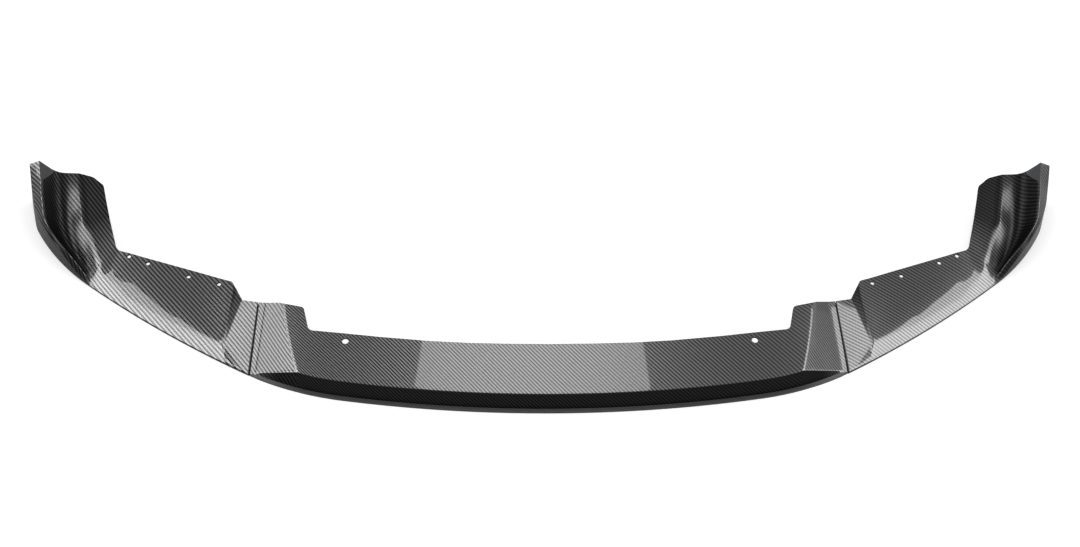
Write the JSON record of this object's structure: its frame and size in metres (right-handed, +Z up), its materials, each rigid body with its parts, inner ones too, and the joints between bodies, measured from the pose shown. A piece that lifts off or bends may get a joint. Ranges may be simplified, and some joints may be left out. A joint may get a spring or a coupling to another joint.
{
  "type": "front splitter lip",
  "caption": "Low curved car front splitter lip in panels, with a centre blade, winged side panels, raised winglets and vertical fixing holes.",
  "frame": {"origin": "middle of the footprint, on the plane of the bottom edge", "axes": "+X to the viewer's right along the width, -Y towards the front edge, +Z up"},
  "size_m": [1.772, 0.447, 0.105],
  "materials": {
    "carbon_gloss": "gloss clear coat over a dark diagonal twill pattern"
  },
  "bodies": {
    "root": {"centre_panel": "carbon_gloss", "left_side_panel": "carbon_gloss", "right_side_panel": "carbon_gloss"}
  },
  "joints": []
}
